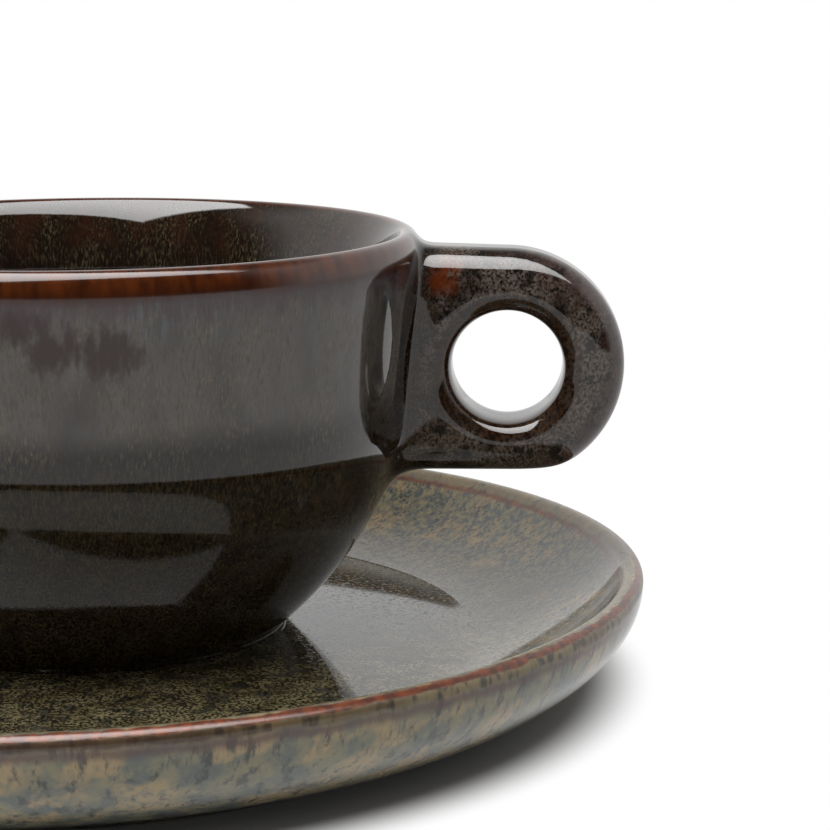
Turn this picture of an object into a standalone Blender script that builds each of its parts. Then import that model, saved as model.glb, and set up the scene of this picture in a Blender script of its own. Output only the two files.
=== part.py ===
"""Cappuccino cup on its saucer, in reactive-glazed stoneware.

Units are metres and +Z is up. The origin lies on the table under the saucer's centre.
The handle points along +X. The saucer and the bowl are turned, and the handle is a
thick slab with a round finger hole, formed apart and joined to the bowl.
"""

import math

import bmesh
import bpy

MM = 0.001

# Saucer: turned dish with a flat seat, a floor that falls a little outwards and a steep rim
SAUCER_RADIUS = 80.6 * MM
SAUCER_HEIGHT = 17.5 * MM
SAUCER_RIM_THICKNESS = 3.0 * MM
SAUCER_RIM_SLOPE = math.radians(52)
SAUCER_SEAT_RADIUS = 33.0 * MM
SAUCER_FLOOR_HEIGHT = 8.5 * MM
SAUCER_FLOOR_RADIUS = 59.0 * MM
SAUCER_FLOOR_FALL = 1.05 * MM
SAUCER_FOOT_RADIUS = 59.7 * MM
SAUCER_FOOT_WIDTH = 4.2 * MM
SAUCER_FOOT_HEIGHT = 1.5 * MM
SAUCER_FOOT_SPREAD = 1.2 * MM
SAUCER_BASE_THICKNESS = 5.5 * MM

# Cup bowl: a straight cone above a soft crease, a belly drawn in to a small foot, a flared lip
CUP_HEIGHT = 52.5 * MM
CUP_LIP_RADIUS = 45.25 * MM
CUP_LIP_ROUND = 2.1 * MM
CUP_LIP_INNER_ROUND = 1.3 * MM
CUP_FLARE_TILT = math.radians(42)
CUP_FLARE_DEPTH = 12.0 * MM
CUP_WALL = 5.6 * MM
CUP_CREASE_RADIUS = 42.9 * MM
CUP_CREASE_HEIGHT = 27.2 * MM
CUP_HEEL_RADIUS = 39.1 * MM
CUP_HEEL_HEIGHT = 10.8 * MM
CUP_FOOT_RADIUS = 25.6 * MM
CUP_FOOT_HEIGHT = 0.75 * MM
CUP_FOOT_SPREAD = 0.8 * MM
CUP_FOOT_WIDTH = 3.2 * MM
CUP_FOOT_RECESS = 1.5 * MM
CUP_BASE_THICKNESS = 5.0 * MM
CUP_INNER_DRAFT = 1.7 * MM
CUP_INNER_FLOOR_RADIUS = 12.0 * MM

# Handle: slab ear with domed faces, a round outer end, a flat underside and a round finger hole
HANDLE_THICKNESS = 14.0 * MM
HANDLE_DOME_RADIUS = 45.0 * MM
HANDLE_DROP = 2.0 * MM
HANDLE_TOP_FALL = 0.03
HANDLE_HOLE_RADIUS = 7.25 * MM
HANDLE_RING_WIDTH = 8.05 * MM
HANDLE_SOLE_WIDTH = 6.75 * MM
HANDLE_WEB = 5.4 * MM
HANDLE_EDGE_ROUND = 3.1 * MM
HANDLE_HOLE_ROUND = 3.2 * MM
HANDLE_SIDE_FILLET = 3.0 * MM
HANDLE_END_FILLET = 1.2 * MM

# How the pieces stand together
CUP_OFFSET_X = 6.2 * MM
CUP_OFFSET_Y = 2.65 * MM
SEAT_GAP = 0.3 * MM
EDGE_BREAK = 0.4 * MM

# How far each drawn curve is pulled from a straight line towards its corner
SAUCER_INSIDE_PULL = 0.53
SAUCER_UNDERSIDE_PULL = 0.46
CUP_BELLY_PULL = 0.69
CUP_INSIDE_PULL = 0.68
CUP_FLARE_PULL = 0.60

# Facets
SAUCER_SEGMENTS = 64
CUP_SEGMENTS = 56
RIM_STEPS = 6
CURVE_STEPS = 10
SECTION_STEPS = 12
HOLE_SEGMENTS = 32
HOLE_EDGE_STEPS = 4
HOLE_EDGE_SWEEP = math.radians(75)
HOLE_RUN_OUT = 1.0 * MM
HANDLE_END_SWEEP = math.radians(88)


def ellipse_arc(centre, radii, start_degrees, end_degrees, steps):
    """Points (r, z) along part of an ellipse, both ends included."""
    points = []
    for step in range(steps + 1):
        angle = math.radians(start_degrees + (end_degrees - start_degrees) * step / steps)
        points.append((centre[0] + radii[0] * math.cos(angle),
                       centre[1] + radii[1] * math.sin(angle)))
    return points


def corner_curve(start, corner, end, pull, steps):
    """Points (r, z) on a Bezier curve from start to end whose two handles point at a corner."""
    leave = [a + pull * (c - a) for a, c in zip(start, corner)]
    arrive = [b + pull * (c - b) for b, c in zip(end, corner)]
    points = []
    for step in range(steps + 1):
        t = step / steps
        weights = ((1 - t) ** 3, 3 * (1 - t) ** 2 * t, 3 * (1 - t) * t ** 2, t ** 3)
        points.append(tuple(sum(w * control[axis] for w, control in zip(weights, (start, leave, arrive, end)))
                            for axis in (0, 1)))
    return points


def glaze(name, colour, roughness):
    material = bpy.data.materials.new(name)
    material.use_nodes = True
    shader = material.node_tree.nodes["Principled BSDF"]
    shader.inputs["Base Color"].default_value = (*colour, 1)
    shader.inputs["Roughness"].default_value = roughness
    shader.inputs["Metallic"].default_value = 0
    return material


def add_object(name, bm, parent=None, material=None):
    """Turn a bmesh into a named object with outward faces."""
    bmesh.ops.recalc_face_normals(bm, faces=bm.faces)
    mesh = bpy.data.meshes.new(name)
    bm.to_mesh(mesh)
    bm.free()
    mesh.shade_smooth()
    mesh.set_sharp_from_angle(angle=math.radians(40))
    item = bpy.data.objects.new(name, mesh)
    bpy.context.scene.collection.objects.link(item)
    item.parent = parent
    if material:
        mesh.materials.append(material)
    return item


def skin_loops(bm, loops, closed_ends=True):
    """Join rings of vertices with faces, and cap or fan both ends."""
    for first, second in zip(loops, loops[1:]):
        count = max(len(first), len(second))
        for i in range(count):
            j = (i + 1) % count
            corners = [first[i % len(first)], first[j % len(first)],
                       second[j % len(second)], second[i % len(second)]]
            bm.faces.new(list(dict.fromkeys(corners)))
    if closed_ends:
        for loop in (loops[0], loops[-1]):
            if len(loop) > 2:
                bm.faces.new(loop)


def turned(profile, segments, axis="Z"):
    """Solid of revolution of a profile of (radius, height) that starts and ends on the axis."""
    bm = bmesh.new()
    loops = []
    for radius, height in profile:
        count = 1 if radius == 0 else segments
        loop = []
        for i in range(count):
            angle = 2 * math.pi * i / segments
            across = (radius * math.cos(angle), radius * math.sin(angle))
            place = (*across, height) if axis == "Z" else (across[0], height, across[1])
            loop.append(bm.verts.new(place))
        loops.append(loop)
    skin_loops(bm, loops, closed_ends=False)
    return bm


def saucer_profile():
    """From the middle of the floor, over the rim, to the middle of the underside."""
    rim = SAUCER_RIM_THICKNESS / 2
    rim_centre = (SAUCER_RADIUS - rim, SAUCER_HEIGHT - rim)
    rim_inside = (rim_centre[0] - rim * math.sin(SAUCER_RIM_SLOPE),
                  rim_centre[1] + rim * math.cos(SAUCER_RIM_SLOPE))
    floor_edge = (SAUCER_FLOOR_RADIUS, SAUCER_FLOOR_HEIGHT - SAUCER_FLOOR_FALL)
    climb = rim_inside[1] - floor_edge[1]
    toe = (rim_inside[0] - climb / math.tan(SAUCER_RIM_SLOPE), floor_edge[1])
    foot_top = (SAUCER_FOOT_RADIUS + SAUCER_FOOT_SPREAD, SAUCER_FOOT_HEIGHT)
    inner_foot = SAUCER_FOOT_RADIUS - SAUCER_FOOT_WIDTH
    recess = SAUCER_FLOOR_HEIGHT - SAUCER_BASE_THICKNESS
    points = [(0, SAUCER_FLOOR_HEIGHT), (SAUCER_SEAT_RADIUS, SAUCER_FLOOR_HEIGHT)]
    points += corner_curve(floor_edge, toe, rim_inside, SAUCER_INSIDE_PULL, CURVE_STEPS)
    points += ellipse_arc(rim_centre, (rim, rim), 90 + math.degrees(SAUCER_RIM_SLOPE), 0, RIM_STEPS)[1:]
    points += corner_curve((SAUCER_RADIUS, rim_centre[1]), (SAUCER_RADIUS, SAUCER_FOOT_HEIGHT), foot_top,
                           SAUCER_UNDERSIDE_PULL, CURVE_STEPS)[1:]
    points += [(SAUCER_FOOT_RADIUS, 0), (inner_foot, 0), (inner_foot - recess / 2, recess), (0, recess)]
    return points


def bowl_outside():
    """The bowl's outside from under the lip, down the cone and round the belly to the foot."""
    crease = (CUP_CREASE_RADIUS, CUP_CREASE_HEIGHT)
    foot_top = (CUP_FOOT_RADIUS + CUP_FOOT_SPREAD, CUP_FOOT_HEIGHT)
    belly = corner_curve(crease, (CUP_HEEL_RADIUS, CUP_HEEL_HEIGHT), foot_top, CUP_BELLY_PULL, CURVE_STEPS)
    return [(CUP_LIP_RADIUS, CUP_HEIGHT - CUP_LIP_ROUND)] + belly


def bowl_radius_at(height):
    """Outside radius of the bowl at a height above its foot."""
    outside = bowl_outside()
    for (upper, top), (lower, bottom) in zip(outside, outside[1:]):
        if height >= bottom:
            break
    share = min((height - bottom) / (top - bottom), 1)
    return lower + share * (upper - lower)


def bowl_profile():
    """From the middle of the inside floor, over the lip, to the middle of the underside."""
    floor = CUP_FOOT_RECESS + CUP_BASE_THICKNESS
    flare_height = CUP_HEIGHT - CUP_FLARE_DEPTH
    inner_wall = bowl_radius_at(flare_height) - CUP_WALL
    crest_radius = CUP_LIP_RADIUS - CUP_LIP_ROUND
    inner_lip = ellipse_arc((crest_radius, CUP_HEIGHT - CUP_LIP_INNER_ROUND),
                            (CUP_LIP_INNER_ROUND, CUP_LIP_INNER_ROUND),
                            180 - math.degrees(CUP_FLARE_TILT), 90, RIM_STEPS // 2)
    outer_lip = ellipse_arc((crest_radius, CUP_HEIGHT - CUP_LIP_ROUND), (CUP_LIP_ROUND, CUP_LIP_ROUND),
                            90, 0, RIM_STEPS)
    flare_top = inner_lip[0]
    flare_corner = (inner_wall, flare_top[1] - (flare_top[0] - inner_wall) / math.tan(CUP_FLARE_TILT))
    inner_foot = CUP_FOOT_RADIUS - CUP_FOOT_WIDTH
    points = [(0, floor)]
    points += corner_curve((CUP_INNER_FLOOR_RADIUS, floor), (inner_wall - CUP_INNER_DRAFT, floor),
                           (inner_wall, flare_height), CUP_INSIDE_PULL, CURVE_STEPS)
    points += corner_curve((inner_wall, flare_height), flare_corner, flare_top,
                           CUP_FLARE_PULL, CURVE_STEPS // 2)[1:]
    points += inner_lip[1:] + outer_lip[1:] + bowl_outside()[1:]
    points += [(CUP_FOOT_RADIUS, 0), (inner_foot, 0), (inner_foot - EDGE_BREAK, CUP_FOOT_RECESS),
               (0, CUP_FOOT_RECESS)]
    return points


def bowl_clearance():
    """Cutter that keeps the handle's root one seat gap off the bowl's outside."""
    above = CUP_HEIGHT + HANDLE_RING_WIDTH
    points = [(0, above), (CUP_LIP_RADIUS + SEAT_GAP, above)]
    points += [(radius + SEAT_GAP, height) for radius, height in bowl_outside()]
    points += [(0, CUP_FOOT_HEIGHT)]
    return turned(points, CUP_SEGMENTS)


HANDLE_END_RADIUS = HANDLE_HOLE_RADIUS + HANDLE_RING_WIDTH
HOLE_HEIGHT = CUP_HEIGHT - HANDLE_DROP - HANDLE_END_RADIUS
WALL_AT_HOLE = bowl_radius_at(HOLE_HEIGHT)
HOLE_OUT = WALL_AT_HOLE + HANDLE_WEB + HANDLE_HOLE_RADIUS
HANDLE_BOTTOM = HOLE_HEIGHT - HANDLE_HOLE_RADIUS - HANDLE_SOLE_WIDTH


def handle_depth_inside(x, z):
    """How deep a point of the handle's side view lies inside its outline."""
    if x > HOLE_OUT:
        round_end = HANDLE_END_RADIUS - math.hypot(x - HOLE_OUT, z - HOLE_HEIGHT)
    else:
        round_end = HANDLE_END_RADIUS + HANDLE_TOP_FALL * (HOLE_OUT - x) - abs(z - HOLE_HEIGHT)
    return min(round_end, z - HANDLE_BOTTOM)


def handle_half_thickness(x, z):
    """Half the slab's thickness at a point of its side view, where both faces are domed."""
    from_middle = math.hypot(max(x - HOLE_OUT, 0), z - HOLE_HEIGHT)
    return HANDLE_THICKNESS / 2 - from_middle ** 2 / (2 * HANDLE_DOME_RADIUS)


def fillet_flare(to_wall, radius):
    """How far a round fillet stands out from the slab at a distance from the wall."""
    short = 1 - min(max(to_wall / radius, 0), 1)
    return radius * (1 - math.sqrt(1 - short ** 2))


def handle_section(x):
    """Closed loop of (y, z): the slab's section at x, with rounded edges and a root fillet."""
    if x > HOLE_OUT:
        rise = math.sqrt(HANDLE_END_RADIUS ** 2 - (x - HOLE_OUT) ** 2)
    else:
        rise = HANDLE_END_RADIUS + HANDLE_TOP_FALL * (HOLE_OUT - x)
    top = HOLE_HEIGHT + rise
    bottom = max(HOLE_HEIGHT - rise, HANDLE_BOTTOM)
    middle = (top + bottom) / 2
    half_height = (top - bottom) / 2
    side = []
    for step in range(SECTION_STEPS + 1):
        z = middle - half_height * math.cos(math.pi * step / SECTION_STEPS)
        depth = min(max(handle_depth_inside(x, z), 0), HANDLE_EDGE_ROUND)
        bulge = math.sqrt(HANDLE_EDGE_ROUND ** 2 - (HANDLE_EDGE_ROUND - depth) ** 2)
        y = handle_half_thickness(x, z) - HANDLE_EDGE_ROUND + bulge
        to_wall = x - bowl_radius_at(z)
        widen = 1 + fillet_flare(to_wall, HANDLE_SIDE_FILLET) / (HANDLE_THICKNESS / 2)
        spread = 1 + fillet_flare(to_wall, HANDLE_END_FILLET) / half_height
        side.append((y * widen, middle + (z - middle) * spread))
    return side + [(-y, z) for y, z in reversed(side)]


def handle_stations():
    """Distances from the cup's axis where the handle's section is drawn."""
    first = bowl_radius_at(HANDLE_BOTTOM)
    last = CUP_LIP_RADIUS + HANDLE_SIDE_FILLET
    stations = [first - CUP_WALL]
    for step in range(CURVE_STEPS):
        stations.append(first + (last - first) * step / CURVE_STEPS)
    for step in range(CURVE_STEPS + 1):
        angle = HANDLE_END_SWEEP * step / CURVE_STEPS
        stations.append(HOLE_OUT + HANDLE_END_RADIUS * math.sin(angle))
    return stations


def handle_slab():
    """Loft of the sections from inside the wall to the round outer end."""
    bm = bmesh.new()
    loops = [[bm.verts.new((x, y, z)) for y, z in handle_section(x)] for x in handle_stations()]
    skin_loops(bm, loops)
    return bm


def finger_hole():
    """Cutter for the hole: narrowest in mid-thickness, opening out round to both faces."""
    half = HANDLE_THICKNESS / 2
    edge = []
    for step in range(HOLE_EDGE_STEPS + 1):
        angle = HOLE_EDGE_SWEEP * step / HOLE_EDGE_STEPS
        edge.append((HANDLE_HOLE_RADIUS + HANDLE_HOLE_ROUND * (1 - math.cos(angle)), half * math.sin(angle)))
    mouth = half + HOLE_RUN_OUT
    edge.append((edge[-1][0] + HOLE_RUN_OUT, mouth))
    profile = [(0, -mouth)] + [(r, -y) for r, y in reversed(edge[1:])] + edge + [(0, mouth)]
    bm = turned(profile, HOLE_SEGMENTS, axis="Y")
    bmesh.ops.translate(bm, verts=bm.verts, vec=(HOLE_OUT, 0, HOLE_HEIGHT))
    return bm


def cut(item, name, bm):
    """Subtract a hidden cutter from an object."""
    cutter = add_object(name, bm, parent=item.parent)
    cutter.hide_render = True
    cutter.display_type = "WIRE"
    boolean = item.modifiers.new(name, "BOOLEAN")
    boolean.operation = "DIFFERENCE"
    boolean.solver = "EXACT"
    boolean.object = cutter


for old in list(bpy.data.objects):
    bpy.data.objects.remove(old, do_unlink=True)

saucer = add_object("saucer", turned(saucer_profile(), SAUCER_SEGMENTS),
                    material=glaze("saucer_glaze", (0.23, 0.18, 0.12), 0.22))

# The cup stands off the saucer's centre, and lifts straight up along this empty's Z
cup = bpy.data.objects.new("cup", None)
bpy.context.scene.collection.objects.link(cup)
cup.location = (CUP_OFFSET_X, CUP_OFFSET_Y, SAUCER_FLOOR_HEIGHT + SEAT_GAP)

bowl = add_object("cup_bowl", turned(bowl_profile(), CUP_SEGMENTS), parent=cup,
                  material=glaze("bowl_glaze", (0.05, 0.035, 0.027), 0.15))
handle = add_object("cup_handle", handle_slab(), parent=cup,
                    material=glaze("handle_glaze", (0.08, 0.055, 0.04), 0.18))
cut(handle, "bowl_clearance", bowl_clearance())
cut(handle, "finger_hole", finger_hole())
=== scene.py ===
# %% [markdown]
# # A cappuccino cup on its saucer, in reactive stoneware glaze
#
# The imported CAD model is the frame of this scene: it says where the saucer, the bowl and the
# handle are, and this script gives each of them its finished surface. The bowl and the saucer are
# thrown on a wheel, so Geometry Nodes turn them from a drawn profile. The handle is a slab with a
# round finger hole that melts into the wall, so it is made from distance fields.

# %% Load the frame
import math

import bpy
import numpy as np
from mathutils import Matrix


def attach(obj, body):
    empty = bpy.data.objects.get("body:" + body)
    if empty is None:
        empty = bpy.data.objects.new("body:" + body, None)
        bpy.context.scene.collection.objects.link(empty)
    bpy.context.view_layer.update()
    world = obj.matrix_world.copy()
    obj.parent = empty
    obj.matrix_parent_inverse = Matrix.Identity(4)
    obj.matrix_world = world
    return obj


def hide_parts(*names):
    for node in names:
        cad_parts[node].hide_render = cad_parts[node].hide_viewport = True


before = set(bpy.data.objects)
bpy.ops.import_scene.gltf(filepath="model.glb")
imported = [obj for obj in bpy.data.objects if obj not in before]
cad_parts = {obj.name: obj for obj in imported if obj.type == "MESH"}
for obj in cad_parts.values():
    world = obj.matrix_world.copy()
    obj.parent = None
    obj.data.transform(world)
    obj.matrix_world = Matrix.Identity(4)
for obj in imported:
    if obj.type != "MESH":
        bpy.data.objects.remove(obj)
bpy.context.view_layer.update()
MM = 0.001

# %% [markdown]
# ## Two helpers
#
# Colours are written the way a paint chart gives them, as sRGB hex, and the shader wants linear
# numbers. Every node tree below, for shapes and for finishes, is written with one function that
# adds a node, sets its options and feeds its sockets.

# %% Colour and node helpers


def linear(hex_colour):
    """Linear RGBA from an sRGB hex colour."""
    channels = [int(hex_colour[i:i + 2], 16) / 255 for i in (1, 3, 5)]
    return [c / 12.92 if c <= 0.04045 else ((c + 0.055) / 1.055) ** 2.4 for c in channels] + [1.0]


def add(tree, kind, settings=None, inputs=None, output=0):
    """Add a node with its settings, feed its sockets with values or links, give one output."""
    node = tree.nodes.new(kind)
    for name, value in (settings or {}).items():
        setattr(node, name, value)
    for name, value in (inputs or {}).items():
        if isinstance(value, bpy.types.NodeSocket):
            tree.links.new(value, node.inputs[name])
        else:
            node.inputs[name].default_value = value
    return node.outputs[output] if node.outputs else node


print("sRGB #808080 is linear", round(linear("#808080")[0], 3))

# %% [markdown]
# ## The white table
#
# The cup stands on a white table under one large overhead softbox, in front of a white wall, with
# the room behind the camera dark. Glaze is a mirror with a colour under it, so most of what the
# eye reads on the cup is this room. The table could be an ordinary white sheet with more light on
# it, but that would bleach the cup too. So it is plain paper near the saucer, which keeps the
# shadow, and fades into pure white further out, for the camera and for the mirrors in the glaze.

# %% White table
TABLE_HALF = 6.0
TABLE_PAPER = "#cacaca"
# The shadow's edge in metres from a centre that leans away from the lamp.
SHADOW_REACH, WHITE_FROM = 0.0771, 0.0876
SHADOW_LEAN = (-0.0045, 0.0086, 0)
# The glaze sees the table from low down, where real paper is a little less than white.
MIRRORED_WHITE = 0.85

table_mesh = bpy.data.meshes.new("table")
table_mesh.from_pydata([(x * TABLE_HALF, y * TABLE_HALF, 0) for x, y in ((-1, -1), (1, -1), (1, 1), (-1, 1))],
                       [], [(0, 1, 2, 3)])
table = bpy.data.objects.new("table", table_mesh)
bpy.context.scene.collection.objects.link(table)

paper = bpy.data.materials.new("white_table_paper")
paper.use_nodes = True
tree = paper.node_tree
tree.nodes.clear()
ground = add(tree, "ShaderNodeTexCoord", output="Object")
ground = add(tree, "ShaderNodeVectorMath", {"operation": "SUBTRACT"}, {0: ground, 1: SHADOW_LEAN})
away = add(tree, "ShaderNodeVectorMath", {"operation": "LENGTH"}, {0: ground}, "Value")
path = add(tree, "ShaderNodeLightPath").node.outputs
fade = add(tree, "ShaderNodeMapRange", {"interpolation_type": "SMOOTHSTEP"},
           {"Value": away, "From Min": SHADOW_REACH, "From Max": WHITE_FROM})
seen = add(tree, "ShaderNodeMath", {"operation": "MAXIMUM"},
           {0: path["Is Camera Ray"], 1: path["Is Glossy Ray"]})
seen = add(tree, "ShaderNodeMath", {"operation": "MAXIMUM"}, {0: seen, 1: path["Is Transmission Ray"]})
fade = add(tree, "ShaderNodeMath", {"operation": "MULTIPLY"}, {0: fade, 1: seen})
lit = add(tree, "ShaderNodeBsdfDiffuse", {}, {"Color": linear(TABLE_PAPER)})
level = add(tree, "ShaderNodeMix", {"data_type": "FLOAT"},
            {"Factor": path["Is Glossy Ray"], 2: 1.0, 3: MIRRORED_WHITE})
white = add(tree, "ShaderNodeEmission", {}, {"Color": (1, 1, 1, 1), "Strength": level})
surface = add(tree, "ShaderNodeMixShader", {}, {0: fade, 1: lit, 2: white})
add(tree, "ShaderNodeOutputMaterial", {}, {"Surface": surface})
table_mesh.materials.append(paper)
print("table", TABLE_HALF * 2, "m across")

# %% [markdown]
# ## The room
#
# The room is what the glaze mirrors where it sees neither table nor lamp: a white wall behind the
# cup, a dim ceiling and darkness behind the camera. It could be built from walls, but it is so far
# away that only the direction counts, so the world's shader draws it from the direction alone.
# The camera sees it pure white, and matt surfaces get an even fill from it.

# %% Room
ROOM_FILL = 0.30
BEHIND_CAMERA, DIM_CEILING = 0.03, 0.15

world = bpy.data.worlds.new("studio_room")
bpy.context.scene.world = world
world.use_nodes = True
tree = world.node_tree
tree.nodes.clear()
direction = add(tree, "ShaderNodeTexCoord", output="Generated")
axes = add(tree, "ShaderNodeSeparateXYZ", {}, {0: direction}).node.outputs
wall = add(tree, "ShaderNodeMapRange", {"interpolation_type": "SMOOTHSTEP"},
           {"Value": axes["Y"], "From Min": -0.45, "From Max": 0.05,
            "To Min": BEHIND_CAMERA, "To Max": 1.0})
ceiling = add(tree, "ShaderNodeMapRange", {"interpolation_type": "SMOOTHSTEP"},
              {"Value": axes["Z"], "From Min": 0.58, "From Max": 0.86,
               "To Min": 1.0, "To Max": DIM_CEILING})
wall = add(tree, "ShaderNodeMath", {"operation": "MULTIPLY"}, {0: wall, 1: ceiling})
path = add(tree, "ShaderNodeLightPath").node.outputs
seen = add(tree, "ShaderNodeMath", {"operation": "MAXIMUM"},
           {0: path["Is Glossy Ray"], 1: path["Is Transmission Ray"]})
level = add(tree, "ShaderNodeMix", {"data_type": "FLOAT"}, {"Factor": seen, 2: ROOM_FILL, 3: wall})
level = add(tree, "ShaderNodeMix", {"data_type": "FLOAT"},
            {"Factor": path["Is Camera Ray"], 2: level, 3: 1.0})
glow = add(tree, "ShaderNodeBackground", {}, {"Color": (1, 1, 1, 1), "Strength": level})
add(tree, "ShaderNodeOutputWorld", {}, {"Surface": glow})
print("room", len(tree.nodes), "nodes")

# %% [markdown]
# ## The softbox
#
# A softbox is a lamp behind a sheet of white cloth. On a glazed pot it does two things: it lights
# the colours, and it shows as a bright shape on the lip, on the handle and inside the bowl. A
# plain area lamp gives both, but its picture in the glaze is evenly bright and has hard edges. The
# real cloth is hung askew and falls off toward its edge and its front, so the glaze sees a panel
# made for it, and the area lamp, hidden from the mirrors, gives the light.

# %% Softbox in the glaze
SOFTBOX_HEIGHT = 1.0
SOFTBOX_GLINT = 10.0
SOFTBOX_CORNERS = ((-0.39, -1.07), (0.97, -0.22), (-0.28, 0.32), (-0.75, 0.00))
# Shares of the glint at the front and at the right end, and where the cloth's edge begins to fade.
FRONT_SHARE, RIGHT_SHARE = 0.72, 0.8
EDGE_FADE = 0.46

panel_mesh = bpy.data.meshes.new("softbox_in_the_glaze")
panel_mesh.from_pydata([(*corner, SOFTBOX_HEIGHT) for corner in SOFTBOX_CORNERS], [], [(3, 2, 1, 0)])
panel_mesh.uv_layers.new(name="cloth").data.foreach_set("uv", (0, 1, 1, 1, 1, 0, 0, 0))
panel = bpy.data.objects.new("softbox_in_the_glaze", panel_mesh)
bpy.context.scene.collection.objects.link(panel)
panel.visible_camera = panel.visible_diffuse = panel.visible_shadow = False
cloth = bpy.data.materials.new("softbox_cloth")
cloth.use_nodes = True
tree = cloth.node_tree
tree.nodes.clear()
cloth_uv = add(tree, "ShaderNodeTexCoord", output="UV")
cloth_axes = add(tree, "ShaderNodeSeparateXYZ", {}, {0: cloth_uv}).node.outputs
depth = add(tree, "ShaderNodeMapRange", {"interpolation_type": "SMOOTHSTEP"},
            {"Value": cloth_axes["Y"], "From Min": 0.0, "From Max": 0.55,
             "To Min": FRONT_SHARE, "To Max": 1.0})
width = add(tree, "ShaderNodeMapRange", {"interpolation_type": "SMOOTHSTEP"},
            {"Value": cloth_axes["X"], "From Min": 0.55, "From Max": 1.0,
             "To Min": SOFTBOX_GLINT, "To Max": RIGHT_SHARE * SOFTBOX_GLINT})
middle = add(tree, "ShaderNodeMath", {"operation": "MULTIPLY"}, {0: depth, 1: width})
across = add(tree, "ShaderNodeVectorMath", {"operation": "SUBTRACT"}, {0: cloth_uv, 1: (0.5, 0.5, 0)})
across = add(tree, "ShaderNodeVectorMath", {"operation": "ABSOLUTE"}, {0: across})
sides = add(tree, "ShaderNodeSeparateXYZ", {}, {0: across}).node.outputs
to_edge = add(tree, "ShaderNodeMath", {"operation": "MAXIMUM"}, {0: sides["X"], 1: sides["Y"]})
strength = add(tree, "ShaderNodeMapRange", {"interpolation_type": "SMOOTHSTEP"},
               {"Value": to_edge, "From Min": EDGE_FADE, "From Max": 0.505, "To Min": middle, "To Max": 0.0})
glow = add(tree, "ShaderNodeEmission", {}, {"Color": (1, 1, 1, 1), "Strength": strength})
add(tree, "ShaderNodeOutputMaterial", {}, {"Surface": glow})
panel_mesh.materials.append(cloth)
print("softbox in the glaze", len(tree.nodes), "nodes")

# %% Softbox that lights
SOFTBOX_LEFT, SOFTBOX_RIGHT = -0.67, 0.20
SOFTBOX_FRONT, SOFTBOX_BACK = -0.75, 0.05
SOFTBOX_RADIANCE = 4.8

softbox_data = bpy.data.lights.new("overhead_softbox", "AREA")
softbox_data.shape = "RECTANGLE"
softbox_data.size = SOFTBOX_RIGHT - SOFTBOX_LEFT
softbox_data.size_y = SOFTBOX_BACK - SOFTBOX_FRONT
softbox_data.energy = SOFTBOX_RADIANCE * math.pi * softbox_data.size * softbox_data.size_y
softbox = bpy.data.objects.new("overhead_softbox", softbox_data)
softbox.location = ((SOFTBOX_LEFT + SOFTBOX_RIGHT) / 2, (SOFTBOX_FRONT + SOFTBOX_BACK) / 2, SOFTBOX_HEIGHT)
softbox.visible_glossy = False
bpy.context.scene.collection.objects.link(softbox)
bpy.context.scene.view_settings.view_transform = "Standard"
print("softbox", round(softbox_data.energy, 1), "W")

# %% [markdown]
# ## The camera
#
# The photograph is a close crop taken with a long lens, a little above the rim. Its place was
# found by fitting the drawn rims, the foot and the finger hole to the picture.

# %% Camera
camera_data = bpy.data.cameras.new("camera")
camera_data.sensor_width = 36.0
camera_data.lens = 115.62
camera_data.clip_start = 0.01
camera = bpy.data.objects.new("camera", camera_data)
camera.location = (0.06359, -0.34425, 0.0997)
camera.rotation_euler = (math.radians(79.73), math.radians(0.11), math.radians(2.16))
bpy.context.scene.collection.objects.link(camera)
bpy.context.scene.camera = camera
print("lens", camera_data.lens, "mm")

# %% [markdown]
# ## The profiles
#
# A thrown pot is one drawn line turned about an axis. Each profile runs from the middle of the
# upper face, over the rim, down the outside and under the foot back to the middle, as (radius,
# height) in millimetres. Points lie close together where the line bends sharply, so that the
# rims stay round in the reflections.

# %% Profile helpers


def arc(centre, radii, start, end, steps):
    """Points on an ellipse arc, from one angle in degrees to another."""
    angles = np.radians(np.linspace(start, end, steps + 1))
    return np.stack([centre[0] + radii[0] * np.cos(angles), centre[1] + radii[1] * np.sin(angles)], 1)


def bezier(controls, steps):
    """Points on a cubic Bezier curve."""
    t = np.linspace(0, 1, steps + 1)[:, None]
    a, b, c, d = np.array(controls, float)
    return (1 - t) ** 3 * a + 3 * (1 - t) ** 2 * t * b + 3 * (1 - t) * t ** 2 * c + t ** 3 * d


def line(start, end, steps):
    """Points on a straight line."""
    return np.linspace(start, end, steps + 1).astype(float)


def joined(*pieces):
    """One list of points, without the doubles where pieces meet."""
    points = np.concatenate(pieces)
    keep = np.r_[True, np.hypot(*np.diff(points, axis=0).T) > 1e-6]
    return points[keep]


def crest_length(points):
    """Length along the profile to its highest point."""
    steps = np.hypot(*np.diff(points, axis=0).T)
    return steps[:np.argmax(points[:, 1])].sum()


print("a quarter circle in four steps has", len(arc((0, 0), (1, 1), 0, 90, 4)), "points")

# %% [markdown]
# ## The saucer's line
#
# The saucer has a flat seat for the cup, a floor that falls a little towards the wall, a steep wall
# and a round rim. Its outside is one full curve down to a foot ring. The floor's small fall and the
# wall's curve decide where the saucer mirrors the softbox, so they are drawn with curves that have
# handles of their own, not with arcs.

# %% Saucer profile
SAUCER_RADIUS, SAUCER_HEIGHT, SAUCER_RIM = 80.6, 17.5, 3.0
FLOOR_HEIGHT, FLOOR_RADIUS, FLOOR_DROP = 8.5, 58.5, 1.05
SEAT_RADIUS, SEAT_BLEND = 33.0, 5.0
WALL_BEND, STRAIGHT_WALL = (65.5, 8.2), 7.5
BELLY_CENTRE, FOOT_RISE = 54.0, 1.0
FOOT_OUTSIDE, FOOT_INSIDE = 59.7, 55.5
RECESS_RADIUS, RECESS_HEIGHT = 54.0, 3.0
INNER_SLOPE = 52.0

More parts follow.
